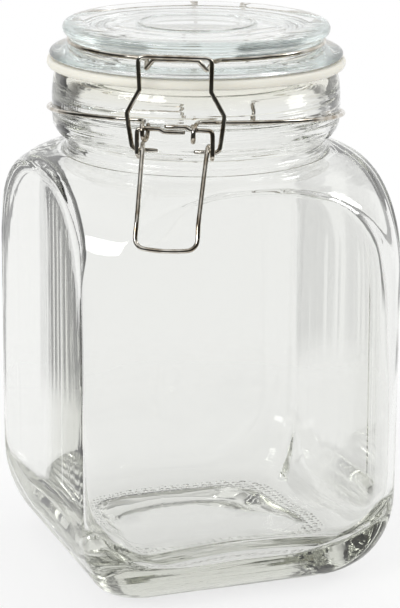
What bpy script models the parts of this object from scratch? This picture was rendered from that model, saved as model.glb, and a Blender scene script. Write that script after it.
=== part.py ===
"""Clip-top glass jar: a square glass jar with a round neck, a glass lid with its sealing ring, and the
four bent wires that hinge the lid and clamp it shut.

Metres, +Z up. The origin is on the jar's axis, level with the surface it stands on. The clip faces -Y
and the hinge faces +Y. The square body is turned about the axis, as the round neck lets it be.
"""

import bmesh
import bpy
from math import acos, asin, atan2, ceil, cos, pi, radians, sin, sqrt, tan
from mathutils import Matrix, Vector

MM = 0.001

# Glass body
BODY_WIDTH = 113.0 * MM
BODY_CORNER = 11.0 * MM
BODY_HEIGHT = 147.0 * MM
BODY_TURN = radians(29.2)
WALL = 2.1 * MM
PANEL_SWELL = 1.5 * MM
INNER_CORNER = 9.0 * MM
SHOULDER_WALL = 2.8 * MM
FLOOR = 13.5 * MM
FLOOR_RISE = 0.5 * MM
FLOOR_CORNER = 26.0 * MM
HEEL_INSET = 20.0 * MM
HEEL_HEIGHT = 32.0 * MM
INNER_HEEL_INSET = 16.5 * MM
INNER_HEEL_HEIGHT = 22.0 * MM
BEARING_WIDTH = 4.0 * MM
PUSH_UP = 7.0 * MM
PUSH_UP_SHARES = ((0.35, 1.0), (0.70, 0.84), (0.92, 0.32))
FLOOR_CROWN_SHARE = 0.42
SHOULDER_DROP = 57.0 * MM
SHOULDER_SWELL = 20.5 * MM
SHOULDER_POWER_SHARE = 0.8
SHOULDER_TOP_SHARE = 0.95
INNER_SHOULDER_TOP_SHARE = 0.985
ARCH_FADE = 19.0 * MM
ARCH_FADE_SPREAD = 3.6 * MM
EDGE_SHARPNESS_SHARE = 110
INNER_EDGE_SHARPNESS_SHARE = 40
ARCH_TOP_SHARE = 1.02

# Glass neck
NECK_HEIGHT = 28.0 * MM
NECK_INSET = 0.8 * MM
WAIST_DEPTH = 6.0 * MM
MOUTH_ROOM = 1.3 * MM
THROAT_STEP = 2.6 * MM
NECK_SHARES = ((0.0, 0.08), (0.23, 0.145), (0.67, 0.22), (0.92, 0.30), (1.0, 0.39),
               (1.0, 0.71), (0.92, 0.86), (0.82, 0.95), (0.70, 0.985), (0.56, 1.0))
LIP_ROUND = 0.8 * MM
LIP_SHARES = ((1.0, 0.0), (0.25, 0.5), (0.0, 1.6))
BORE_SHARES = ((1.0, 0.39), (0.6, 0.24), (0.0, 0.10))

# Wire and the room between pieces
WIRE = 1.5 * MM
WIRE_BEND = 2.0 * MM
GAP = 0.3 * MM

# Sealing ring
SEAL_THICKNESS = 3.3 * MM
SEAL_PROUD = 0.8 * MM
SEAL_ROUND = 0.8 * MM

# Glass lid
FLANGE_RADIUS = 50.0 * MM
FLANGE_THICKNESS = 3.3 * MM
DISC_INSET = 4.4 * MM
GROOVE_DEPTH = 3.4 * MM
GROOVE_HEIGHT = 3.8 * MM
DISC_THICKNESS = 4.8 * MM
PLUG_INSET = 8.7 * MM
PLUG_DEPTH = 6.6 * MM
PLUG_WALL = 3.8 * MM
PLUG_ROUND = 0.8 * MM
LID_GLASS = 6.0 * MM
LID_DISH = 1.3 * MM
LID_RING_RADIUS = 19.5 * MM
LID_RING_HEIGHT = 0.5 * MM
LID_RING_SPREAD = 1.0 * MM
LID_DISH_EDGE = 7.7 * MM
DISC_EDGE_SHARES = ((-1.1, 0.98), (-0.55, 1.0), (-0.16, 0.85), (0.0, 0.58), (-0.06, 0.2),
                    (-0.22, 0.06))
GROOVE_SHARES = ((0.25, 1.0), (0.0, 0.82), (0.0, 0.22), (0.43, 0.0))
FLANGE_EDGE_SHARES = ((-0.55, 0.78), (-0.12, 0.58), (0.0, 0.3), (-0.1, 0.08), (-0.3, 0.0))
HOLLOW_SHARES = ((0.5, 1.0), (1.4, 0.0))

# Neck wire, which rides up in front where the clip pulls on it
NECK_WIRE_DROP = 15.0 * MM
NECK_WIRE_TILT = radians(6.0)
EYE_SPACING = 17.4 * MM
EYE_RADIUS = 2.85 * MM
CLIP_STAND = 4.2 * MM
EYE_TURN = radians(320)

# Hinge behind the neck
HINGE_DROP = 4.0 * MM
HINGE_WIDTH = 27.0 * MM
HINGE_EYE_SPACING = 18.0 * MM
HINGE_EYE_TURN = radians(262)

# Clip: lever and bail
CLIP_SHIFT = 1.8 * MM
LEVER_THROW = 7.5 * MM
LEVER_WIDTH = 24.6 * MM
COIL_RADIUS = 2.2 * MM
LAP = 3.6 * MM
LAP_JOG = 1.4 * MM
HANDLE_CURL = radians(10)
HANDLE_UPPER = 25.5 * MM
HANDLE_LOWER = 8.2 * MM
HANDLE_MIDDLE_WIDTH = 19.8 * MM
HANDLE_END_WIDTH = 20.6 * MM
HANDLE_CORNER = 3.6 * MM
HANDLE_BOW = 0.8 * MM
HANDLE_ROOM = 0.45 * MM
BAIL_FOOT_WIDTH = 28.4 * MM
BAIL_BELLY_WIDTH = 31.8 * MM
BAIL_NECK_WIDTH = 23.1 * MM
BAIL_TOP_WIDTH = 24.0 * MM
BAIL_BELLY_HEIGHT = 12.1 * MM
BAIL_NECK_HEIGHT = 19.9 * MM
BAIL_PIN = 8.6 * MM

# Tongue: the front of the lid wire, that the bail bears on
TONGUE_STAND = 2.6 * MM
TONGUE_WIDTH = 14.4 * MM
TONGUE_FOOT_WIDTH = 19.8 * MM
TONGUE_RISE = 3.4 * MM
TONGUE_ROOT = 1.7 * MM
BAIL_LIFT = 1.2 * MM

# Resolution
FLAT_STEPS = 5
CORNER_STEPS = 3
TURNED_STEPS = 56
ARC_STEP = radians(7.5)
BEND_STEP = radians(22.5)
HEEL_STEPS = (0, 18, 36, 54, 72, 90)
INNER_HEEL_STEPS = (0, 22, 44, 60, 75, 90)
SHOULDER_STEPS = (0, 12, 24, 36, 47, 57, 67, 76, 84)
INNER_SHOULDER_STEPS = (0, 14, 28, 42, 55, 68, 80)
LEAN_STEPS = 85
SHARP_ANGLE = radians(40)
MERGE = 1e-6

# Places worked out from the sizes above
HALF = BODY_WIDTH / 2
ROUND_CREASE = pi / 4 * FLAT_STEPS / (FLAT_STEPS + CORNER_STEPS)
SHOULDER_REACH = HALF + SHOULDER_SWELL
RIM_HEIGHT = BODY_HEIGHT + NECK_HEIGHT
DISC_RADIUS = FLANGE_RADIUS - DISC_INSET
GROOVE_RADIUS = DISC_RADIUS - GROOVE_DEPTH
PLUG_RADIUS = FLANGE_RADIUS - PLUG_INSET
MOUTH_RADIUS = PLUG_RADIUS + MOUTH_ROOM
THROAT_RADIUS = MOUTH_RADIUS - THROAT_STEP
NECK_RADIUS = FLANGE_RADIUS - NECK_INSET
WAIST_RADIUS = NECK_RADIUS - WAIST_DEPTH
SEAL_BOTTOM = RIM_HEIGHT + GAP
SEAL_TOP = SEAL_BOTTOM + SEAL_THICKNESS
FLANGE_BOTTOM = SEAL_TOP + GAP
FLANGE_TOP = FLANGE_BOTTOM + FLANGE_THICKNESS
DISC_BOTTOM = FLANGE_TOP + GROOVE_HEIGHT
LID_TOP = DISC_BOTTOM + DISC_THICKNESS
NECK_RING = (NECK_RADIUS + GAP + WIRE / 2) / cos(ARC_STEP / 2)
LID_RING = (GROOVE_RADIUS + GAP + WIRE / 2) / cos(ARC_STEP / 2)
LID_RING_LEVEL = (FLANGE_TOP + DISC_BOTTOM) / 2
NECK_WIRE_HEIGHT = RIM_HEIGHT - NECK_WIRE_DROP
HINGE_EYE = WIRE + GAP
HINGE_STAND = FLANGE_RADIUS + SEAL_PROUD + GAP + WIRE
HINGE = Vector((0, HINGE_STAND + GAP, RIM_HEIGHT - HINGE_DROP))
EYE_STAND = FLANGE_RADIUS + CLIP_STAND
EYE_LEVEL = NECK_WIRE_HEIGHT + NECK_RING * tan(NECK_WIRE_TILT) - EYE_RADIUS
FULCRUM_LEVEL = EYE_LEVEL + EYE_RADIUS - WIRE - GAP
FULCRUM = Vector((CLIP_SHIFT, -EYE_STAND, FULCRUM_LEVEL))
PIN = FULCRUM + Vector((0, COIL_RADIUS, -LEVER_THROW))
TONGUE_REACH = FLANGE_RADIUS + TONGUE_STAND
TONGUE_TOP = LID_RING_LEVEL + WIRE
BAIL_BAR = Vector((CLIP_SHIFT, -TONGUE_REACH - WIRE - GAP, TONGUE_TOP + BAIL_LIFT))


def material(name, colour, roughness, metallic=0.0, transmission=0.0):
    """One plain surface for a piece."""
    made = bpy.data.materials.new(name)
    made.use_nodes = True
    shader = made.node_tree.nodes["Principled BSDF"]
    shader.inputs["Base Color"].default_value = (*colour, 1.0)
    shader.inputs["Roughness"].default_value = roughness
    shader.inputs["Metallic"].default_value = metallic
    shader.inputs["Transmission Weight"].default_value = transmission
    return made


def pivot(name, place, parent=None):
    """An empty on a joint's axis, which the pieces of one moving body hang from."""
    empty = bpy.data.objects.new(name, None)
    bpy.context.collection.objects.link(empty)
    empty.location = place
    if parent:
        empty.parent = parent
        empty.location = place - parent.location
    return empty


def add_piece(name, data, finish, carrier=None, at=Vector()):
    """Adds a mesh or a curve drawn in place, with its origin on the pivot that carries it."""
    piece = bpy.data.objects.new(name, data)
    bpy.context.collection.objects.link(piece)
    data.materials.append(finish)
    data.transform(Matrix.Translation(-at))
    piece.parent = carrier
    return piece


def finish_mesh(name, bm):
    """Closes a bmesh into a smooth-shaded mesh with its faces outwards."""
    bmesh.ops.remove_doubles(bm, verts=bm.verts, dist=MERGE)
    bmesh.ops.recalc_face_normals(bm, faces=bm.faces)
    mesh = bpy.data.meshes.new(name)
    bm.to_mesh(mesh)
    bm.free()
    mesh.shade_smooth()
    mesh.set_sharp_from_angle(angle=SHARP_ANGLE)
    return mesh


def square_reach(angle, half, corner):
    """How far a rounded square reaches from its centre at an angle from one face's normal."""
    along, across = sorted((abs(cos(angle)), abs(sin(angle))), reverse=True)
    reach = half / along
    if reach * across <= half - corner:
        return reach
    centre = half - corner
    middle = centre * (along + across)
    return middle + sqrt(middle ** 2 - 2 * centre ** 2 + corner ** 2)


def inner_reach(angle, half, corner):
    """The inner wall: blown glass stays thickest in the middle of a panel and thins to its corners."""
    side = angle % (pi / 2)
    side = min(side, pi / 2 - side)
    along = half * tan(side) / (half - corner)
    return square_reach(angle, half, corner) - PANEL_SWELL * max(0, 1 - along ** 2) / cos(side)


def ring_angles(crease):
    """Angles round the body, shared out so that a point lies on the crease where a flat panel ends."""
    flat = [crease * step / FLAT_STEPS for step in range(FLAT_STEPS)]
    bend = pi / 4 - crease
    arc = [crease + bend * step / CORNER_STEPS for step in range(CORNER_STEPS)]
    eighth = flat + arc
    quarter = eighth + [pi / 2 - angle for angle in reversed(eighth[1:] + [pi / 4])]
    return [angle + side * pi / 2 for side in range(4) for angle in quarter]


def ring(height, reach, crease):
    """One level of the glass body: a loop of points whose distance from the axis is reach(angle)."""
    places = []
    for angle in ring_angles(crease):
        distance = reach(angle)
        turned = angle + BODY_TURN
        places.append(Vector((distance * cos(turned), distance * sin(turned), height)))
    return places


def round_ring(radius, height):
    return ring(height, lambda angle: radius, ROUND_CREASE)


def panel_end(half, corner):
    """The angle at which a flat panel runs into its rounded corner."""
    return atan2(half - corner, half)


def square_ring(half, height, corner, section):
    return ring(height, lambda angle: section(angle, half, corner), panel_end(half, corner))


def shoulder_reach(square, dome_radius, sharpness):
    """A square level's reach cut by the round shoulder, with a soft edge where the two meet."""
    return dome_radius * (1 + (dome_radius / square) ** sharpness) ** (-1 / sharpness)


def arch_crease(half, corner, dome_radius, top_radius):
    """The angle of a panel's arched edge on one level. Above the arch the points spread out again."""
    crease = min(panel_end(half, corner), acos(min(1, half / dome_radius)))
    arch_top = half * ARCH_TOP_SHARE
    if dome_radius < arch_top:
        crease = acos(half / arch_top)
        crease += (ROUND_CREASE - crease) * (arch_top - dome_radius) / (arch_top - top_radius)
    return crease


def shoulder_level(step, top_radius, top, reach):
    """Radius and height of the round shoulder at an angle up its full, rounded curve."""
    turn = radians(step)
    out = cos(turn) ** SHOULDER_POWER_SHARE
    up = sin(turn) ** SHOULDER_POWER_SHARE
    return top_radius + (reach - top_radius) * out, top - SHOULDER_DROP * (1 - up)


def shoulder_rings(half, corner, section, top_radius, top, reach, sharpness, steps):
    """The shoulder's levels from the straight wall up to the neck."""
    levels = [(reach + ARCH_FADE_SPREAD, top - SHOULDER_DROP - ARCH_FADE)]
    levels += [shoulder_level(step, top_radius, top, reach) for step in steps]
    return [ring(height, lambda angle: shoulder_reach(section(angle, half, corner), radius, sharpness),
                 arch_crease(half, corner, radius, top_radius))
            for radius, height in levels]


def heel_rings(half, corner, foot_corner, section, inset, height, level, steps):
    """The rounded foot of a wall: from its lowest level out and up to the straight wall."""
    rings = []
    for step in steps:
        turn = radians(step)
        inward = 1 - sin(turn)
        level_corner = corner + (foot_corner - corner) * inward
        rings.append(square_ring(half - inset * inward, level + height * (1 - cos(turn)),
                                 level_corner, section))
    return rings


def jar_mesh():
    """The glass jar: one wall lofted up the outside, over the rim and down the inside."""
    foot_half = HALF - HEEL_INSET
    bearing_half = foot_half - BEARING_WIDTH
    base = [round_ring(bearing_half * out, PUSH_UP * up) for out, up in PUSH_UP_SHARES]
    base.append(square_ring(bearing_half, 0, BODY_CORNER, square_reach))
    heel = heel_rings(HALF, BODY_CORNER, BODY_CORNER, square_reach, HEEL_INSET, HEEL_HEIGHT, 0,
                      HEEL_STEPS)
    shoulder = shoulder_rings(HALF, BODY_CORNER, square_reach, WAIST_RADIUS * SHOULDER_TOP_SHARE,
                              BODY_HEIGHT, SHOULDER_REACH, EDGE_SHARPNESS_SHARE, SHOULDER_STEPS)
    bulge = NECK_RADIUS - WAIST_RADIUS
    neck = [round_ring(WAIST_RADIUS + bulge * out, BODY_HEIGHT + NECK_HEIGHT * up)
            for out, up in NECK_SHARES]
    lip = [round_ring(MOUTH_RADIUS + LIP_ROUND * out, RIM_HEIGHT - LIP_ROUND * down)
           for out, down in LIP_SHARES]
    flare = MOUTH_RADIUS - THROAT_RADIUS
    bore = [round_ring(THROAT_RADIUS + flare * out, BODY_HEIGHT + NECK_HEIGHT * up)
            for out, up in BORE_SHARES]
    bore.append(round_ring(THROAT_RADIUS, BODY_HEIGHT - SHOULDER_WALL / 2))

    inner_half = HALF - WALL
    inner_shoulder = shoulder_rings(inner_half, INNER_CORNER, inner_reach,
                                    THROAT_RADIUS * INNER_SHOULDER_TOP_SHARE,
                                    BODY_HEIGHT - SHOULDER_WALL, SHOULDER_REACH - SHOULDER_WALL,
                                    INNER_EDGE_SHARPNESS_SHARE, INNER_SHOULDER_STEPS)
    inner_heel = heel_rings(inner_half, INNER_CORNER, FLOOR_CORNER, inner_reach, INNER_HEEL_INSET,
                            INNER_HEEL_HEIGHT, FLOOR, INNER_HEEL_STEPS)
    floor = [round_ring(bearing_half * FLOOR_CROWN_SHARE, FLOOR + FLOOR_RISE)]
    loops = base + heel + shoulder + neck + lip + bore
    loops += list(reversed(inner_shoulder)) + list(reversed(inner_heel)) + floor

    bm = bmesh.new()
    levels = [[bm.verts.new(place) for place in places] for places in loops]
    for lower, upper in zip(levels, levels[1:]):
        corners = zip(lower, lower[1:] + lower[:1], upper[1:] + upper[:1], upper)
        for corner_verts in corners:
            bm.faces.new(corner_verts)
    bm.faces.new(levels[0])
    bm.faces.new(levels[-1])
    return finish_mesh("jar", bm)


def turned_mesh(name, outline, closed):
    """A round piece: its outline of (radius, height) pairs turned once round the jar's axis."""
    bm = bmesh.new()
    verts = [bm.verts.new((radius, 0, height)) for radius, height in outline]
    pairs = list(zip(verts, verts[1:]))
    if closed:
        pairs.append((verts[-1], verts[0]))
    edges = [bm.edges.new(pair) for pair in pairs]
    bmesh.ops.spin(bm, geom=verts + edges, cent=(0, 0, 0), axis=(0, 0, 1), angle=2 * pi,
                   steps=TURNED_STEPS, use_merge=True)
    return finish_mesh(name, bm)


def lid_outline():
    """From the middle of the lid's top, out and down its edge, and back to the middle underneath."""
    dish = LID_TOP - LID_DISH
    outline = [
        (0, dish),
        (LID_RING_RADIUS - LID_RING_SPREAD, dish),
        (LID_RING_RADIUS, dish + LID_RING_HEIGHT),
        (LID_RING_RADIUS + LID_RING_SPREAD, dish),
        (DISC_RADIUS - LID_DISH_EDGE, dish + LID_RING_HEIGHT / 2),
    ]
    edges = (
        (DISC_EDGE_SHARES, DISC_RADIUS, DISC_BOTTOM, DISC_THICKNESS),
        (GROOVE_SHARES, GROOVE_RADIUS, FLANGE_TOP, GROOVE_HEIGHT),
        (FLANGE_EDGE_SHARES, FLANGE_RADIUS, FLANGE_BOTTOM, FLANGE_THICKNESS),
    )
    for shares, radius, bottom, size in edges:
        outline += [(radius + out * size, bottom + up * size) for out, up in shares]
    plug_bottom = FLANGE_BOTTOM - PLUG_DEPTH
    hollow_radius = PLUG_RADIUS - PLUG_WALL
    hollow_top = LID_TOP - LID_GLASS - LID_DISH
    outline += [
        (PLUG_RADIUS, FLANGE_BOTTOM),
        (PLUG_RADIUS, plug_bottom + PLUG_ROUND),
        (PLUG_RADIUS - PLUG_ROUND, plug_bottom),
        (hollow_radius + PLUG_ROUND, plug_bottom),
        (hollow_radius, plug_bottom + PLUG_ROUND),
    ]
    outline += [(hollow_radius - PLUG_WALL * inward, hollow_top - PLUG_WALL * down)
                for inward, down in HOLLOW_SHARES]
    outline.append((0, hollow_top))
    return outline


def seal_outline():
    """The sealing ring: flat above and below, soft at its outer edge."""
    inner = PLUG_RADIUS + GAP
    outer = FLANGE_RADIUS + SEAL_PROUD
    return [
        (inner, SEAL_TOP),
        (outer - SEAL_ROUND, SEAL_TOP),
        (outer, SEAL_TOP - SEAL_ROUND),
        (outer, SEAL_BOTTOM + SEAL_ROUND),
        (outer - SEAL_ROUND, SEAL_BOTTOM),
        (inner, SEAL_BOTTOM),
    ]


def bent(corners, radius=WIRE_BEND):
    """A wire's centre line: straight runs between the corners, with a bend of one radius at each."""
    path = [corners[0]]
    for before, corner, after in zip(corners, corners[1:], corners[2:]):
        back = (before - corner).normalized()
        ahead = (after - corner).normalized()
        turn = pi - back.angle(ahead)
        if turn < BEND_STEP / 4:
            path.append(corner)
            continue
        room = min((before - corner).length, (after - corner).length) / 2
        cut = min(radius * tan(turn / 2), room)
        tight = cut / tan(turn / 2)
        centre = corner + (back + ahead).normalized() * (tight / cos(turn / 2))
        first = corner + back * cut - centre
        last = corner + ahead * cut - centre
        steps = ceil(turn / BEND_STEP)
        for step in range(steps + 1):
            done = turn * step / steps
            path.append(centre + (first * sin(turn - done) + last * sin(done)) / sin(turn))
    path.append(corners[-1])
    return path


def mirrored(path, middle=0):
    """The same path on the other side of the plane x = middle."""
    return [Vector((2 * middle - place.x, place.y, place.z)) for place in path]


def wire_curve(name, path):
    """Round steel wire along a path, closed at both ends."""
    curve = bpy.data.curves.new(name, "CURVE")
    curve.dimensions = "3D"
    curve.bevel_depth = WIRE / 2
    curve.bevel_resolution = 2
    curve.use_fill_caps = True
    spline = curve.splines.new("POLY")
    spline.points.add(len(path) - 1)
    for point, place in zip(spline.points, path):
        point.co = (*place, 1)
    return curve


def neck_ring_place(angle):
    """A point of the neck wire at an angle from the hinge: the ring tilts up towards the clip."""
    place = Vector((NECK_RING * sin(angle), NECK_RING * cos(angle), 0))
    place.z = NECK_WIRE_HEIGHT - place.y * tan(NECK_WIRE_TILT)
    return place


def arc_angles(start, end):
    steps = ceil((end - start) / ARC_STEP)
    return [start + (end - start) * step / steps for step in range(steps + 1)]


def neck_wire_path():
    """Half the wire runs from the hinge bar, round the neck, to the eye that carries the lever."""
    post = HINGE_WIDTH / 2
    leave = asin(post / NECK_RING) + ARC_STEP / 2
    ring_start = neck_ring_place(leave)
    foot = Vector((post, NECK_RING + WIRE, ring_start.z))
    bar_end = Vector((post, HINGE.y, HINGE.z))
    hinge = bent([HINGE, bar_end, foot, ring_start, neck_ring_place(leave + ARC_STEP)])

    eye_x = EYE_SPACING / 2
    arrive = pi - asin((eye_x + WIRE_BEND) / NECK_RING)
    sides = [neck_ring_place(angle) for angle in arc_angles(leave + ARC_STEP, arrive)]
    eye_top = Vector((eye_x, -EYE_STAND, EYE_LEVEL + EYE_RADIUS))
    step_out = Vector((eye_x, -NECK_RING, eye_top.z))
    run = bent([sides[-1], step_out, eye_top])

    pitch = WIRE + GAP
    eye = []
    steps = ceil(EYE_TURN / BEND_STEP)
    for step in range(1, steps + 1):
        angle = EYE_TURN * step / steps
        eye.append(Vector((eye_x - pitch * angle / (2 * pi),
                           -EYE_STAND - EYE_RADIUS * sin(angle),
                           EYE_LEVEL + EYE_RADIUS * cos(angle))))
    half = hinge + sides[1:] + run[1:] + eye
    return list(reversed(mirrored(half))) + half[1:]


def lid_ring_place(angle):
    return Vector((LID_RING * sin(angle), LID_RING * cos(angle), LID_RING_LEVEL))


def lid_wire_path():
    """Half the wire runs from the tongue, round the lid's groove, to the eye on the hinge bar."""
    middle = Vector((CLIP_SHIFT, -TONGUE_REACH, TONGUE_TOP))
    paths = []
    for side in (-1, 1):
        bar_end = middle + Vector((side * TONGUE_WIDTH / 2, 0, 0))
        foot = Vector((CLIP_SHIFT + side * TONGUE_FOOT_WIDTH / 2, -TONGUE_REACH + WIRE,
                       TONGUE_TOP - TONGUE_RISE))
        back = Vector((foot.x + side * WIRE / 2, -LID_RING - TONGUE_ROOT, LID_RING_LEVEL))
        leave = pi - asin(abs(back.x + side * WIRE_BEND) / LID_RING)
        tongue = bent([middle, bar_end, foot, back, side_place(leave, side),
                       side_place(leave - ARC_STEP, side)], WIRE_BEND / 2)

        eye_x = HINGE_EYE_SPACING / 2
        arrive = asin((eye_x + WIRE_BEND) / LID_RING)
        angles = arc_angles(arrive, leave - ARC_STEP)
        sides = [side_place(angle, side) for angle in reversed(angles)]
        over = Vector((side * eye_x, LID_RING + WIRE, LID_RING_LEVEL))
        corner = Vector((side * eye_x, HINGE.y + HINGE_EYE, LID_RING_LEVEL))
        eye_side = Vector((side * eye_x, HINGE.y + HINGE_EYE, HINGE.z))
        run = bent([sides[-1], over, corner, eye_side])
        eye = []
        steps = ceil(HINGE_EYE_TURN / BEND_STEP)
        for step in range(1, steps + 1):
            angle = HINGE_EYE_TURN * step / steps
            eye.append(Vector((side * eye_x, HINGE.y + HINGE_EYE * cos(angle),
                               HINGE.z - HINGE_EYE * sin(angle))))
        paths.append(tongue + sides[1:] + run[1:] + eye)
    return list(reversed(paths[0])) + paths[1][1:]


def side_place(angle, side):
    place = lid_ring_place(angle)
    place.x *= side
    return place


def lever_path():
    """Half the wire runs from its end on the cross-bar, down the arm, once round the bail's pin and
    down the handle. The two ends lie over each other in the middle of the cross-bar."""
    splay = handle_lean()
    end_splay = splay - HANDLE_CURL
    paths = []
    for side in (-1, 1):
        lap = side * (WIRE + GAP) / 2
        arm_x = LEVER_WIDTH / 2
        leg_x = arm_x - WIRE - GAP
        end = Vector((-LAP, 0, lap))
        jog = Vector((LAP, 0, lap))
        on_axis = Vector((LAP + LAP_JOG, 0, 0))
        shoulder = Vector((arm_x, 0, 0))
        coil_start = Vector((arm_x, 0, -LEVER_THROW))
        cross = bent([end, jog, on_axis, shoulder, coil_start], WIRE)
        turns = 2 * pi - splay
        steps = ceil(turns / BEND_STEP)
        coil = []
        for step in range(1, steps + 1):
            angle = turns * step / steps
            coil.append(Vector((arm_x + (leg_x - arm_x) * angle / turns,
                                COIL_RADIUS * (1 - cos(angle)),
                                -LEVER_THROW - COIL_RADIUS * sin(angle))))
        middle_x = HANDLE_MIDDLE_WIDTH / 2
        end_x = HANDLE_END_WIDTH / 2
        middle = coil[-1] + handle_run(HANDLE_UPPER, splay)
        middle.x = middle_x
        corner = middle + handle_run(HANDLE_LOWER, end_splay)
        corner.x = end_x
        bow = corner + handle_run(HANDLE_BOW, end_splay)
        bow.x = 0
        handle = bent([coil[-1], middle, corner, bow], HANDLE_CORNER)
        half = cross + coil + handle[1:]
        paths.append([FULCRUM + Vector((side * place.x, place.y, place.z)) for place in half])
    return paths[0] + list(reversed(paths[1]))[1:]


def handle_run(length, splay):
    """A step down the handle, which leans away from the jar by splay."""
    return Vector((0, -length * sin(splay), -length * cos(splay)))


def handle_lean():
    """The lean at which both of the handle's legs, off their coils, just clear the glass shoulder."""
    lean = 0
    offset = COIL_RADIUS - WIRE / 2 - HANDLE_ROOM
    for side in (-1, 1):
        leg_x = CLIP_SHIFT + side * HANDLE_MIDDLE_WIDTH / 2
        for step in range(LEAN_STEPS):
            radius, height = shoulder_level(step, WAIST_RADIUS * SHOULDER_TOP_SHARE, BODY_HEIGHT,
                                            SHOULDER_REACH)
            angle = atan2(-radius, leg_x) - BODY_TURN
            square = square_reach(angle, HALF, BODY_CORNER)
            reach = shoulder_reach(square, radius, EDGE_SHARPNESS_SHARE)
            out = sqrt(reach ** 2 - leg_x ** 2) + PIN.y
            away = sqrt(out ** 2 + (PIN.z - height) ** 2)
            lean = max(lean, atan2(out, PIN.z - height) - asin(offset / away))
    return lean


def bail_path():
    """Half the wire runs from the pin in the lever's coil, up the waisted leg, to the top bar."""
    lean = (BAIL_BAR - PIN) / (BAIL_BAR.z - PIN.z)
    corners = [PIN + Vector((BAIL_FOOT_WIDTH / 2 - BAIL_PIN, 0, 0)),
               PIN + Vector((BAIL_FOOT_WIDTH / 2, 0, 0))]
    for width, height in ((BAIL_BELLY_WIDTH, BAIL_BELLY_HEIGHT), (BAIL_NECK_WIDTH, BAIL_NECK_HEIGHT)):
        corners.append(PIN + lean * height + Vector((width / 2, 0, 0)))
    corners.append(BAIL_BAR + Vector((BAIL_TOP_WIDTH / 2, 0, 0)))
    corners.append(BAIL_BAR)
    half = bent(corners)
    return half + list(reversed(mirrored(half, CLIP_SHIFT)))[1:]


def build():
    for old in list(bpy.data.objects):
        bpy.data.objects.remove(old)

    clear_glass = material("clear_glass", (0.93, 0.95, 0.94), 0.02, transmission=1.0)
    tinted_glass = material("tinted_glass", (0.82, 0.90, 0.88), 0.02, transmission=1.0)
    silicone = material("milky_silicone", (0.87, 0.86, 0.82), 0.45)
    steel = material("bright_steel", (0.72, 0.71, 0.69), 0.18, metallic=1.0)

    add_piece("jar", jar_mesh(), clear_glass)
    add_piece("neck_wire", wire_curve("neck_wire", neck_wire_path()), steel)

    lid_hinge = pivot("lid_hinge", HINGE)
    add_piece("lid", turned_mesh("lid", lid_outline(), False), tinted_glass, lid_hinge, HINGE)
    add_piece("seal_ring", turned_mesh("seal_ring", seal_outline(), True), silicone, lid_hinge, HINGE)
    add_piece("lid_wire", wire_curve("lid_wire", lid_wire_path()), steel, lid_hinge, HINGE)

    lever_pivot = pivot("lever_pivot", FULCRUM)
    bail_pivot = pivot("bail_pivot", PIN, lever_pivot)
    add_piece("lever", wire_curve("lever", lever_path()), steel, lever_pivot, FULCRUM)
    add_piece("bail", wire_curve("bail", bail_path()), steel, bail_pivot, PIN)


build()
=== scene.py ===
from math import acos, atan2, cos, pi, radians, sin, sqrt

import bmesh
import bpy
from mathutils import Matrix, Vector


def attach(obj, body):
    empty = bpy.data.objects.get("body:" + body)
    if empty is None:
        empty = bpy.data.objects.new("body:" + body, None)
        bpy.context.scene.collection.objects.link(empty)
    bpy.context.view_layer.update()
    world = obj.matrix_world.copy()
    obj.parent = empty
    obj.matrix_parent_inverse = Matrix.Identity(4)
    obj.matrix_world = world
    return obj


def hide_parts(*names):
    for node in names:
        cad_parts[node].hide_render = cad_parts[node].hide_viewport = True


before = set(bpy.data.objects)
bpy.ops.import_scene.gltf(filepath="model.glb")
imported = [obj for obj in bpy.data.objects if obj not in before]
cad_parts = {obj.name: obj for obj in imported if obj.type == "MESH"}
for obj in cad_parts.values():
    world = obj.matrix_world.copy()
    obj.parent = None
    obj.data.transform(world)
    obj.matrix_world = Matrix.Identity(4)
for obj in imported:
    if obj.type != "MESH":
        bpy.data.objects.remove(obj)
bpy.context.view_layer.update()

# Glass jar. One piece of clear soda glass, blown and pressed in a square mould: flat panels with arched
# tops, a round shoulder and neck, and a pushed-up base. The wall is drawn up as one loop that grows ring
# by ring, up the outside, over the rim and down the inside.
MM = 0.001
body_turn = radians(29.2)
body_half = 56.4 * MM
body_corner = 11.0 * MM
body_height = 147.0 * MM
heel_inset = 19.9 * MM
heel_rise = 32.0 * MM
bearing_width = 4.0 * MM
shoulder_drop = 57.0 * MM
shoulder_reach = 77.0 * MM
waist = 43.2 * MM
bulge = 6.0 * MM
neck_height = 28.0 * MM
mouth = 42.6 * MM
throat = 40.0 * MM
wall = 2.1 * MM
panel_swell = 2.1 * MM
inner_corner = 9.0 * MM
shoulder_wall = 2.8 * MM
inner_shoulder_reach = 74.2 * MM
inner_floor = 13.5 * MM
inner_floor_corner = 26.0 * MM
inner_heel_inset = 16.5 * MM
inner_heel_rise = 22.0 * MM
panel_points = 8
corner_points = 11
heel_steps = 10
round_crease = radians(24)
least_crease = radians(10)
points_gather = 1.6
swell_shape = 1.5
shoulder_fullness = 0.8
shoulder_step = 5
first_point = 0.005


def square_reach(angle, half, corner):
    """How far a rounded square reaches from its centre at an angle from one face's normal."""
    along, across = sorted((abs(cos(angle)), abs(sin(angle))), reverse=True)
    reach = half / along
    if reach * across <= half - corner:
        return reach
    centre = half - corner
    middle = centre * (along + across)
    return middle + sqrt(middle ** 2 - 2 * centre ** 2 + corner ** 2)


def arched_reach(square, dome, edge):
    """A square level cut by the round shoulder of radius dome. A high edge makes the arch crisp."""
    return dome * (1 + (dome / square) ** edge) ** (-1 / edge)


def inside_reach(angle, half, corner):
    """The inner wall: blown glass stays thickest in the middle of each panel and thins to the corners."""
    side = angle % (pi / 2)
    side = min(side, pi / 2 - side)
    along = half * sin(side) / cos(side) / (half - corner)
    return square_reach(angle, half, corner) - panel_swell * max(0, 1 - along ** swell_shape) / cos(side)


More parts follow.
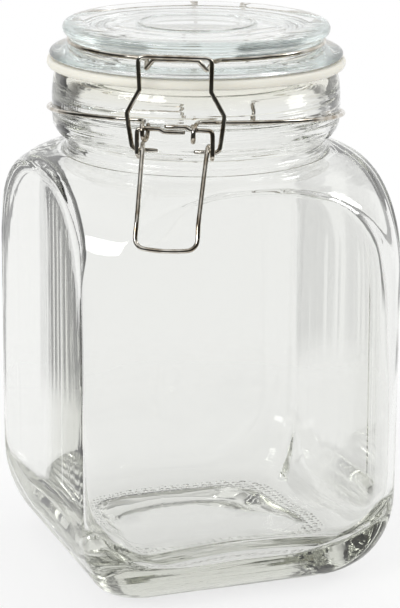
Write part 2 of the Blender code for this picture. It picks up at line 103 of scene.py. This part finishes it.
def ring_angles(crease):
    """Angles round the body, gathered at the crease where a flat panel ends."""
    bend = pi / 4 - crease
    eighth = [crease * (1 - (1 - step / panel_points) ** points_gather) for step in range(panel_points)]
    eighth += [crease + bend * step / corner_points for step in range(corner_points)]
    quarter = eighth + [pi / 2 - angle for angle in reversed(eighth[1:] + [pi / 4])]
    return [angle + side * pi / 2 for side in range(4) for angle in quarter]


def place_ring(verts, height, reach, crease):
    """Moves a ring to its level. Its points keep their order round the jar, from just before one face."""
    start = body_turn - first_point
    ordered = sorted(verts, key=lambda vert: (atan2(vert.co.y, vert.co.x) - start) % (2 * pi))
    for vert, angle in zip(ordered, ring_angles(crease)):
        distance = reach(angle)
        vert.co = (distance * cos(angle + body_turn), distance * sin(angle + body_turn), height)


def grow_ring(bm, edges, *level):
    """Extrudes the open ring to its next level and returns the new ring's edges."""
    grown = bmesh.ops.extrude_edge_only(bm, edges=edges)["geom"]
    verts = {item for item in grown if isinstance(item, bmesh.types.BMVert)}
    place_ring(verts, *level)
    return [item for item in grown if isinstance(item, bmesh.types.BMEdge) and set(item.verts) <= verts]


def round_level(radius, height):
    """A round ring: its height, its reach at each angle, and where its points gather."""
    return height, lambda angle: radius, round_crease


def square_level(half, corner, height, section=square_reach):
    """A ring with four flat sides and rounded corners."""
    return height, lambda angle: section(angle, half, corner), atan2(half - corner, half)


def arched_level(half, corner, dome, edge, height, crease, section):
    """A square ring cut by the shoulder's dome."""
    return height, lambda angle: arched_reach(section(angle, half, corner), dome, edge), crease


def heel_levels(half, corner, foot_corner, inset, rise, bottom, section=square_reach):
    """The rounded foot of a wall, from the lowest level out and up to the straight wall."""
    levels = []
    for step in range(heel_steps + 1):
        turn = radians(90) * step / heel_steps
        inward = 1 - sin(turn)
        level_corner = corner + (foot_corner - corner) * inward
        height = bottom + rise * (1 - cos(turn))
        levels.append(square_level(half - inset * inward, level_corner, height, section))
    return levels


def shoulder_levels(half, corner, top_radius, top, reach, last, edge, section=square_reach):
    """The full, rounded shoulder from the straight wall up to the neck, ended at last degrees of its turn."""
    foot = top - shoulder_drop
    domes = [(reach + wider * MM, foot - down * MM) for wider, down in arch_feet]
    for step in range(0, last, shoulder_step):
        turn = radians(step)
        radius = top_radius + (reach - top_radius) * cos(turn) ** shoulder_fullness
        domes.append((radius, top - shoulder_drop * (1 - sin(turn) ** shoulder_fullness)))
    panel_end = atan2(half - corner, half)
    round_from = half * 1.02
    levels = []
    for dome, height in domes:
        crease = min(panel_end, acos(min(1, half / dome)))
        if dome < round_from:
            crease = max(crease, round_crease * (1 - dome / round_from) / (1 - top_radius / round_from))
        levels.append(arched_level(half, corner, dome, edge, height, max(crease, least_crease), section))
    return levels


# The feet of the arches: wider than the dome and below the shoulder. The push-up under the base, from its
# middle out: radius and height, then half width, corner and height. The neck outside: share of its bulge and
# of its height. The bore behind it: wider than the mouth and below the rim. The inner floor: radius and rise.
arch_feet = ((3.6, 19.0), (1.2, 8.0))
push_up_rounds = ((11.4, 7.0), (17.0, 6.7), (22.7, 5.9), (27.0, 4.2))
push_up_squares = ((29.9, 17.0, 2.2), (31.8, 13.0, 0.5))
neck_outline = ((0.0, 0.08), (0.23, 0.145), (0.67, 0.22), (0.92, 0.30), (1.0, 0.39), (1.0, 0.71),
                (0.92, 0.86), (0.82, 0.95), (0.70, 0.985), (0.56, 1.0))
neck_bore = ((0.8, 0.0), (0.2, 0.4), (0.0, 1.3), (0.0, 3.5), (1.3, 6.5), (2.3, 9.5), (2.6, 14.0), (2.0, 18.0),
             (0.0, 21.5), (-2.0, 24.2))
inner_floor_rounds = ((24.0, 0.4), (11.4, 0.5))
bearing_lip = 0.4 * MM
bearing_half = body_half - heel_inset - bearing_width
rim = body_height + neck_height
levels = [round_level(radius * MM, height * MM) for radius, height in push_up_rounds]
levels += [square_level(half * MM, corner * MM, height * MM) for half, corner, height in push_up_squares]
levels += [square_level(bearing_half + bearing_lip, body_corner, 0)]
levels += heel_levels(body_half, body_corner, body_corner, heel_inset, heel_rise, bottom=0)
levels += shoulder_levels(body_half, body_corner, waist * 0.95, body_height, shoulder_reach,
                          last=86, edge=110)
levels += [round_level(waist + bulge * out, body_height + neck_height * up) for out, up in neck_outline]
levels += [round_level(mouth + wider * MM, rim - down * MM) for wider, down in neck_bore]
levels += [round_level(throat, body_height + neck_height * 0.08)]
levels += [round_level(throat, body_height - shoulder_wall / 2)]
levels += reversed(shoulder_levels(body_half - wall, inner_corner, throat * 0.985,
                                   body_height - shoulder_wall, inner_shoulder_reach,
                                   last=82, edge=40, section=inside_reach))
levels += reversed(heel_levels(body_half - wall, inner_corner, inner_floor_corner, inner_heel_inset,
                               inner_heel_rise, inner_floor, inside_reach))
levels += [round_level(radius * MM, inner_floor + up * MM) for radius, up in inner_floor_rounds]

bm = bmesh.new()
points_round = len(ring_angles(round_crease))
first_ring = bmesh.ops.create_circle(bm, segments=points_round, radius=push_up_rounds[0][0] * MM,
                                     cap_ends=True)["verts"]
bmesh.ops.rotate(bm, verts=first_ring, cent=(0, 0, 0), matrix=Matrix.Rotation(body_turn, 3, "Z"))
place_ring(first_ring, *levels[0])
loop = list(bm.edges)
for level in levels[1:]:
    loop = grow_ring(bm, loop, *level)
bmesh.ops.contextual_create(bm, geom=loop)
bmesh.ops.recalc_face_normals(bm, faces=bm.faces)
jar_mesh = bpy.data.meshes.new("glass_jar")
bm.to_mesh(jar_mesh)
bm.free()
jar_mesh.shade_smooth()
glass_jar = bpy.data.objects.new("glass_jar", jar_mesh)
bpy.context.collection.objects.link(glass_jar)


def round_off(piece, steps):
    """Rounds a piece's facets."""
    rounding = piece.modifiers.new("rounding", "SUBSURF")
    rounding.levels = steps
    rounding.render_levels = steps


round_off(glass_jar, 1)


def new_node(tree, kind, inputs, **options):
    """Adds a node and gives each input its value, or links it to another node's output."""
    made = tree.nodes.new("ShaderNode" + kind)
    for option, choice in options.items():
        setattr(made, option, choice)
    for socket, value in inputs.items():
        if isinstance(value, bpy.types.NodeSocket):
            tree.links.new(value, made.inputs[socket])
        else:
            made.inputs[socket].default_value = value
    return made


def maths(tree, operation, *inputs, **options):
    """One step of arithmetic on values."""
    return new_node(tree, "Math", dict(enumerate(inputs)), operation=operation, **options).outputs[0]


def vector_maths(tree, operation, *inputs):
    """One step of arithmetic on vectors. A length and a dot product give a value, the others a vector."""
    made = new_node(tree, "VectorMath", dict(enumerate(inputs)), operation=operation)
    return made.outputs["Value" if operation in ("LENGTH", "DOT_PRODUCT") else "Vector"]


def rising(tree, value, start, end, finish=1.0, course="LINEAR"):
    """Goes from 0 to finish while a value goes from start to end."""
    span = {"Value": value, "From Min": start, "From Max": end, "To Max": finish}
    return new_node(tree, "MapRange", span, interpolation_type=course).outputs["Result"]


def blend(tree, place, low, low_colour, high, high_colour):
    """A colour that runs from one tone to another between two places."""
    made = new_node(tree, "ValToRGB", {"Fac": place})
    first, last = made.color_ramp.elements
    first.position = low
    first.color = (*low_colour, 1)
    last.position = high
    last.color = (*high_colour, 1)
    return made.outputs["Color"]


def on_piece(tree):
    """The place on the piece, in the piece's own coordinates."""
    return new_node(tree, "TexCoord", {}).outputs["Object"]


def height_at(tree, coords):
    """The height of a place."""
    return new_node(tree, "SeparateXYZ", {"Vector": coords}).outputs["Z"]


def stretched_noise(tree, coords, stretch):
    """Soft cloudy noise, closer the larger its stretch along each axis."""
    place = new_node(tree, "Mapping", {"Vector": coords, "Scale": stretch}).outputs["Vector"]
    return new_node(tree, "TexNoise", {"Vector": place, "Scale": 1.0, "Detail": 2.0}).outputs["Fac"]


def add_relief(tree, height, depth, strength=1.0):
    """Adds relief to the surface, over the relief that it has."""
    normal = tree.nodes["Principled BSDF"].inputs["Normal"]
    bump = new_node(tree, "Bump", {"Height": height, "Distance": depth, "Strength": strength})
    if normal.links:
        tree.links.new(normal.links[0].from_socket, bump.inputs["Normal"])
    tree.links.new(bump.outputs["Normal"], normal)


def new_material(name, **inputs):
    """A material, its shader's sockets named with low lines for spaces."""
    made = bpy.data.materials.new(name)
    made.use_nodes = True
    shader = made.node_tree.nodes["Principled BSDF"]
    for socket, value in inputs.items():
        shader.inputs[socket.replace("_", " ")].default_value = value
    return made


def glass(name, colour, depth_colour, density):
    """Clear glass with a faint tint that deepens with thickness."""
    made = new_material(name, Base_Color=(*colour, 1), Roughness=0.0, IOR=1.5, Transmission_Weight=1.0)
    tree = made.node_tree
    depth = new_node(tree, "VolumeAbsorption", {"Color": (*depth_colour, 1), "Density": density})
    tree.links.new(depth.outputs["Volume"], tree.nodes["Material Output"].inputs["Volume"])
    return made


level_only = (1, 1, 0)
skin_fade = 0.5 * MM


def waves(tree, stretch, low, high, depth, outside=0.0, fade=6.0 * MM):
    """Unevenness left by the mould between two heights and beyond a radius."""
    coords = on_piece(tree)
    height = height_at(tree, coords)
    above = rising(tree, height, low - fade, low)
    below = rising(tree, height, high + fade, high)
    radius = vector_maths(tree, "LENGTH", vector_maths(tree, "MULTIPLY", coords, level_only))
    beyond = rising(tree, radius, outside - skin_fade, outside)
    zone = maths(tree, "MULTIPLY", maths(tree, "MULTIPLY", above, below), beyond)
    add_relief(tree, maths(tree, "MULTIPLY", stretched_noise(tree, coords, stretch), zone), depth)


def painted_seal_rim(tree, stretch, low, high, streak, clear, seal_light):
    """Painted light: the rim's glass is blended towards the sealing ring's cream, in streaks that fade
    downwards, in place of the seal seen through the glass.
    """
    coords = on_piece(tree)
    streaks = stretched_noise(tree, coords, stretch)
    shifted = maths(tree, "MULTIPLY_ADD", streaks, streak, height_at(tree, coords))
    tone = blend(tree, rising(tree, shifted, low, high), 0, clear, 1, seal_light)
    tree.links.new(tone, tree.nodes["Principled BSDF"].inputs["Base Color"])


def stippled_ring(tree, pitch, unevenness, dot_top, dot_foot, under, depth):
    """Small dots pressed into the bearing ring, under a height. Top and foot are shares of the pitch."""
    coords = on_piece(tree)
    turned = new_node(tree, "Mapping", {"Vector": coords, "Rotation": (0, 0, -body_turn)}).outputs["Vector"]
    pattern = {"Vector": turned, "Scale": 1 / pitch, "Randomness": unevenness}
    distance = new_node(tree, "TexVoronoi", pattern).outputs["Distance"]
    dot = rising(tree, distance, dot_foot, dot_top, course="SMOOTHSTEP")
    lowest = maths(tree, "LESS_THAN", height_at(tree, coords), under)
    add_relief(tree, maths(tree, "MULTIPLY", dot, lowest), depth)


# The cream tint is painted light: the sealing ring's colour as seen through the glass, painted onto the rim.
clear_tint = (0.948, 0.951, 0.940)
painted_seal_tint = (0.90, 0.885, 0.80)
jar_glass = glass("jar_glass", clear_tint, depth_colour=(0.40, 0.42, 0.30), density=6.5)
jar_tree = jar_glass.node_tree
waves(jar_tree, (28, 28, 12), low=30 * MM, high=135 * MM, depth=0.12 * MM)
waves(jar_tree, (150, 150, 9), low=35 * MM, high=125 * MM, depth=0.07 * MM, outside=62 * MM)
waves(jar_tree, (8, 8, 270), low=146 * MM, high=170 * MM, depth=0.9 * MM, outside=45 * MM)
waves(jar_tree, (60, 60, 120), low=1 * MM, high=8 * MM, depth=0.2 * MM)
waves(jar_tree, (14, 14, 330), low=0.5 * MM, high=11 * MM, depth=0.5 * MM, outside=37.5 * MM, fade=3 * MM)
# Painted light on the rim: the glass there is tinted cream where the seal shows through it.
painted_seal_rim(jar_tree, (9, 9, 420), low=169.5 * MM, high=175.5 * MM, streak=3.5 * MM, clear=clear_tint,
          seal_light=painted_seal_tint)
stippled_ring(jar_tree, pitch=2.7 * MM, unevenness=0.3, dot_top=0.10, dot_foot=0.40, under=0.3 * MM,
              depth=0.7 * MM)
jar_mesh.materials.append(jar_glass)
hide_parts("jar")
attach(glass_jar, "jar_body")

# Neck wire. One bright drawn steel wire of 1.5 mm round the waist of the neck, bent up into the hinge bar
# behind and into two open eyes in front. It keeps the solid's course, with its bends made smooth.
wire_radius = 0.75 * MM
wire_facets = 8
stain_brown = (0.34, 0.285, 0.215)
bright_steel = (0.74, 0.71, 0.65)


def drawn_steel():
    """Bright steel wire with small stains that raise a faint relief."""
    made = new_material("drawn_steel", Metallic=1.0)
    tree = made.node_tree
    shader = tree.nodes["Principled BSDF"]
    spots = {"Vector": on_piece(tree), "Scale": 240, "Detail": 4}
    stains = new_node(tree, "TexNoise", spots).outputs["Fac"]
    tone = blend(tree, stains, 0.35, stain_brown, 0.62, bright_steel)
    gloss = new_node(tree, "MapRange", {"Value": stains, "To Min": 0.06, "To Max": 0.16}).outputs["Result"]
    tree.links.new(tone, shader.inputs["Base Color"])
    tree.links.new(gloss, shader.inputs["Roughness"])
    add_relief(tree, stains, depth=0.05 * MM, strength=0.15)
    return made


steel = drawn_steel()


def smooth_wire(name, node, body):
    """The solid wire's own course, merged to quads, kept at full gauge and rounded."""
    bm = bmesh.new()
    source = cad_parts[node]
    bm.from_mesh(source.data)
    bm.transform(source.matrix_world)
    bmesh.ops.remove_doubles(bm, verts=bm.verts, dist=0.01 * MM)
    bmesh.ops.join_triangles(bm, faces=bm.faces, angle_face_threshold=radians(60), angle_shape_threshold=pi)
    bm.normal_update()
    drawn_in = wire_radius * (1 - (4 + 2 * cos(2 * pi / wire_facets)) / 6)
    places = [vert.co + vert.normal * drawn_in for vert in bm.verts]
    for vert, place in zip(bm.verts, places):
        vert.co = place
    mesh = bpy.data.meshes.new(name)
    bm.to_mesh(mesh)
    bm.free()
    mesh.shade_smooth()
    mesh.materials.append(steel)
    piece = bpy.data.objects.new(name, mesh)
    bpy.context.collection.objects.link(piece)
    round_off(piece, 2)
    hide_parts(node)
    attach(piece, body)


smooth_wire("steel_neck_wire", "neck_wire", "jar_body")

# Glass lid. A pressed disc of faintly blue-green glass with a dished top and raised rings, a waist for its
# wire, a flange that bears on the seal, and a hollow plug below. It is one profile spun about the axis.
flange_bottom = 178.9 * MM
flange_top = 182.2 * MM
disc_bottom = 186.0 * MM
lid_top = 190.8 * MM
lid_dish = lid_top - 1.3 * MM
lid_hollow = lid_top - 7.3 * MM
plug_side = flange_bottom - 5.8 * MM
plug_bottom = flange_bottom - 6.6 * MM
lid_profile = [
    (0, lid_dish), (17.6 * MM, lid_dish), (18.8 * MM, lid_dish + 0.1 * MM), (19.5 * MM, lid_dish + 0.8 * MM),
    (20.2 * MM, lid_dish + 0.1 * MM), (21.2 * MM, lid_dish), (27.6 * MM, lid_dish),
    (29.0 * MM, lid_dish + 0.25 * MM), (30.4 * MM, lid_dish + 0.05 * MM), (36.5 * MM, lid_dish + 0.15 * MM),
    (38.6 * MM, lid_top - 0.3 * MM), (40.5 * MM, lid_top), (43.2 * MM, lid_top),
    (44.9 * MM, lid_top - 0.8 * MM), (45.6 * MM, lid_top - 2.2 * MM), (45.2 * MM, disc_bottom + 0.8 * MM),
    (44.2 * MM, disc_bottom + 0.1 * MM), (43.1 * MM, disc_bottom - 0.1 * MM),
    (42.2 * MM, disc_bottom - 0.8 * MM), (42.2 * MM, flange_top + 0.9 * MM), (43.7 * MM, flange_top),
    (46.5 * MM, flange_top - 0.3 * MM), (48.6 * MM, flange_top - 0.8 * MM),
    (49.7 * MM, flange_top - 1.5 * MM), (50.0 * MM, flange_bottom + 0.9 * MM),
    (49.6 * MM, flange_bottom + 0.2 * MM), (48.9 * MM, flange_bottom),
    (41.6 * MM, flange_bottom), (41.3 * MM, flange_bottom - 0.3 * MM),
    (41.3 * MM, plug_side), (40.5 * MM, plug_bottom), (38.3 * MM, plug_bottom), (37.5 * MM, plug_side),
    (35.6 * MM, lid_top - 11.1 * MM), (32.2 * MM, lid_hollow - 0.1 * MM), (30.0 * MM, lid_hollow),
    (0, lid_hollow),
]
spin_steps = 64


def spun(name, profile, closed, finish):
    """A round piece: its profile of radius and height turned once about the jar's axis."""
    bm = bmesh.new()
    verts = [bm.verts.new((radius, 0, height)) for radius, height in profile]
    edges = [bm.edges.new(pair) for pair in zip(verts, verts[1:])]
    if closed:
        edges.append(bm.edges.new((verts[-1], verts[0])))
    bmesh.ops.spin(bm, geom=verts + edges, cent=(0, 0, 0), axis=(0, 0, 1), angle=2 * pi,
                   steps=spin_steps, use_merge=True)
    bmesh.ops.remove_doubles(bm, verts=bm.verts, dist=0.01 * MM)
    bmesh.ops.recalc_face_normals(bm, faces=bm.faces)
    mesh = bpy.data.meshes.new(name)
    bm.to_mesh(mesh)
    bm.free()
    mesh.shade_smooth()
    mesh.materials.append(finish)
    piece = bpy.data.objects.new(name, mesh)
    bpy.context.collection.objects.link(piece)
    round_off(piece, 2)
    return piece


lid_glass = glass("lid_glass", (1, 1, 1), depth_colour=(0.52, 0.74, 0.72), density=3.2)
glass_lid = spun("glass_lid", lid_profile, False, lid_glass)
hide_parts("lid")
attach(glass_lid, "lid_body")

# Sealing ring. A flat, milky silicone ring held between the lid's flange and the jar's rim. Its outer edge
# is soft, and it lets some light through.
seal_low = 175.3 * MM
seal_high = 178.6 * MM
seal_inside = 41.6 * MM
seal_outside = 50.8 * MM
milky_deep = (0.80, 0.775, 0.68)
milky_light = (0.88, 0.855, 0.76)
seal_profile = [
    (seal_inside, seal_high), (42.2 * MM, seal_high), (49.2 * MM, seal_high),
    (50.2 * MM, seal_high - 0.1 * MM), (seal_outside, seal_high - 0.9 * MM),
    (seal_outside, seal_low + 0.9 * MM), (50.2 * MM, seal_low + 0.1 * MM),
    (49.2 * MM, seal_low), (42.2 * MM, seal_low), (seal_inside, seal_low),
]


def milky_silicone():
    """Cured silicone: warm white, satin, with light scattered inside it."""
    made = new_material("milky_silicone", Roughness=0.42, Subsurface_Weight=0.6, Subsurface_Scale=4 * MM,
                        Subsurface_Radius=(1.0, 0.95, 0.85))
    tree = made.node_tree
    cloud = new_node(tree, "TexNoise", {"Vector": on_piece(tree), "Scale": 60}).outputs["Fac"]
    tone = blend(tree, cloud, 0, milky_deep, 1, milky_light)
    tree.links.new(tone, tree.nodes["Principled BSDF"].inputs["Base Color"])
    return made


silicone_ring = spun("silicone_ring", seal_profile, True, milky_silicone())
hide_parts("seal_ring")
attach(silicone_ring, "lid_body")

# Lid wire. A second steel wire lies in the waist of the lid. Its tongue stands out in front for the bail to
# bear on, and its two ends curl round the hinge bar behind.
smooth_wire("steel_lid_wire", "lid_wire", "lid_body")

# Lever. The handle wire: its cross-bar turns in the neck wire's eyes, each arm makes one coil for the bail's
# pin, and the handle hangs down over the shoulder. The two ends lap in the middle of the cross-bar.
smooth_wire("steel_lever", "lever", "lever_body")

# Bail. The waisted loop that the lever pulls down over the tongue. Its ends turn inwards as pins that sit in
# the lever's coils.
smooth_wire("steel_bail", "bail", "bail_body")

# Studio floor. A sheet of white paper that takes a soft shadow and fades into the white room at its rim.
# It shows white to the camera, and the same through the glass and in the wire.
floor_size = 1.6
paper_rim = 0.19
paper_fade = 0.09
paper_glow = 0.70
white = (1, 1, 1, 1)


def white_paper():
    """Matt white paper with a share of its own glow for what is seen, clear beyond its faded rim."""
    made = new_material("white_paper")
    tree = made.node_tree
    tree.nodes.remove(tree.nodes["Principled BSDF"])
    matt = new_node(tree, "BsdfDiffuse", {"Color": (0.97, 0.97, 0.97, 1)}).outputs[0]
    glow = new_node(tree, "Emission", {"Color": white}).outputs[0]
    path = new_node(tree, "LightPath", {}).outputs
    seen = path["Is Camera Ray"]
    for kind in ("Is Transmission Ray", "Is Glossy Ray"):
        seen = maths(tree, "ADD", seen, path[kind], use_clamp=True)
    share = maths(tree, "MULTIPLY", seen, paper_glow)
    sheet = new_node(tree, "MixShader", {"Fac": share, 1: matt, 2: glow}).outputs[0]
    distance = vector_maths(tree, "LENGTH", on_piece(tree))
    fade = rising(tree, distance, paper_rim, paper_rim + paper_fade, course="SMOOTHSTEP")
    clear = new_node(tree, "BsdfTransparent", {}).outputs[0]
    faded = new_node(tree, "MixShader", {"Fac": fade, 1: sheet, 2: clear}).outputs[0]
    tree.links.new(faded, tree.nodes["Material Output"].inputs["Surface"])
    return made


bm = bmesh.new()
bmesh.ops.create_grid(bm, x_segments=1, y_segments=1, size=floor_size / 2)
floor_mesh = bpy.data.meshes.new("floor")
bm.to_mesh(floor_mesh)
bm.free()
floor_mesh.materials.append(white_paper())
floor = bpy.data.objects.new("floor", floor_mesh)
bpy.context.collection.objects.link(floor)

# Studio light. A white room lights the jar from all round. Its walls are white behind the glass from every
# side and grow dim overhead, with a dark card on either hand. The wire and the glass mirror a white backdrop
# behind the jar, a dark room in front of it, a canopy above, and two bright windows.
room_light = 0.80
card_core = 0.85
card_top_fade = 0.12
card_foot_fade = 0.04
world = bpy.data.worlds.new("studio")
bpy.context.scene.world = world
world.use_nodes = True
room_tree = world.node_tree
direction = new_node(room_tree, "TexCoord", {}).outputs["Generated"]
split = new_node(room_tree, "SeparateXYZ", {"Vector": direction}).outputs


def past_card(bearing, half_width, foot, top, left_over):
    """The light left by a tall dark card beside the white wall, between two heights. It draws the glass."""
    middle = (cos(radians(bearing)), sin(radians(bearing)), 0)
    level = vector_maths(room_tree, "MULTIPLY", direction, level_only)
    near = vector_maths(room_tree, "DOT_PRODUCT", vector_maths(room_tree, "NORMALIZE", level), middle)
    side = rising(room_tree, near, cos(radians(half_width)), cos(radians(half_width * card_core)),
                  finish=1 - left_over, course="SMOOTHSTEP")
    under_top = rising(room_tree, split["Z"], top + card_top_fade, top)
    over_foot = rising(room_tree, split["Z"], foot - card_foot_fade, foot)
    taken = maths(room_tree, "MULTIPLY", side, maths(room_tree, "MULTIPLY", under_top, over_foot))
    return maths(room_tree, "SUBTRACT", 1.0, taken)


left_card = past_card(bearing=125.5, half_width=16, foot=-0.33, top=0.40, left_over=0.02)
right_card = past_card(bearing=74, half_width=12, foot=-0.22, top=0.40, left_over=0.18)
overhead = blend(room_tree, split["Z"], 0.62, (1, 1, 1), 0.95, (0.30, 0.30, 0.29))
backdrop = blend(room_tree, split["Y"], 0.30, (0.035, 0.035, 0.032), 0.62, (0.95, 0.95, 0.95))
canopy = blend(room_tree, split["Z"], 0.55, (0, 0, 0), 0.80, (0.85, 0.85, 0.85))
mirrored = vector_maths(room_tree, "MAXIMUM", backdrop, canopy)
card_light = maths(room_tree, "MULTIPLY", left_card, right_card)
shades = (
    ("Is Glossy Ray", {"Color": mirrored}),
    ("Is Transmission Ray", {"Color": overhead, "Strength": card_light}),
    ("Is Camera Ray", {"Color": white}),
)
path = new_node(room_tree, "LightPath", {}).outputs
studio = room_tree.nodes["Background"]
studio.inputs["Color"].default_value = white
studio.inputs["Strength"].default_value = room_light
for kind, look in shades:
    shade = new_node(room_tree, "Background", look)
    studio = new_node(room_tree, "MixShader", {"Fac": path[kind], 1: studio.outputs[0], 2: shade.outputs[0]})
room_tree.links.new(studio.outputs[0], room_tree.nodes["World Output"].inputs["Surface"])


def softbox(name, place, target, width, height, watts):
    """A bright window, turned to face its target."""
    lamp = bpy.data.lights.new(name, "AREA")
    lamp.shape = "RECTANGLE"
    lamp.size = width
    lamp.size_y = height
    lamp.energy = watts
    made = bpy.data.objects.new(name, lamp)
    bpy.context.collection.objects.link(made)
    made.location = place
    made.rotation_euler = (Vector(target) - Vector(place)).to_track_quat("-Z", "Y").to_euler()


jar_middle = (0, 0, 0.12)
softbox("window_left", (-0.70, -0.94, 0.72), jar_middle, width=0.85, height=0.28, watts=5)
softbox("window_right", (1.0, 0.35, 0.85), jar_middle, width=0.4, height=0.4, watts=3)

# Camera. It stands where the photograph was taken from: 0.82 m in front and a little to the clip's right,
# looking down on the lid.
sensor = 36
focal_pixels = 2429
frame_pixels = 608
yaw = radians(9.04)
turned_in = radians(0.13)
looking_down = radians(15.46)
roll = radians(0.4)
stand = 0.817
camera_height = 0.3168
camera_data = bpy.data.cameras.new("camera")
camera_data.lens = sensor * focal_pixels / frame_pixels
camera_data.clip_start = 0.05
camera_data.clip_end = 20
camera = bpy.data.objects.new("camera", camera_data)
bpy.context.collection.objects.link(camera)
camera_place = Vector((stand * sin(yaw), -stand * cos(yaw), camera_height))
aim = (Matrix.Rotation(yaw - turned_in, 4, "Z") @ Matrix.Rotation(radians(90) - looking_down, 4, "X")
       @ Matrix.Rotation(roll, 4, "Z"))
camera.matrix_world = Matrix.Translation(camera_place) @ aim
scene = bpy.context.scene
scene.camera = camera
scene.view_settings.view_transform = "Standard"
scene.cycles.max_bounces = 32
scene.cycles.glossy_bounces = 24
scene.cycles.transmission_bounces = 32
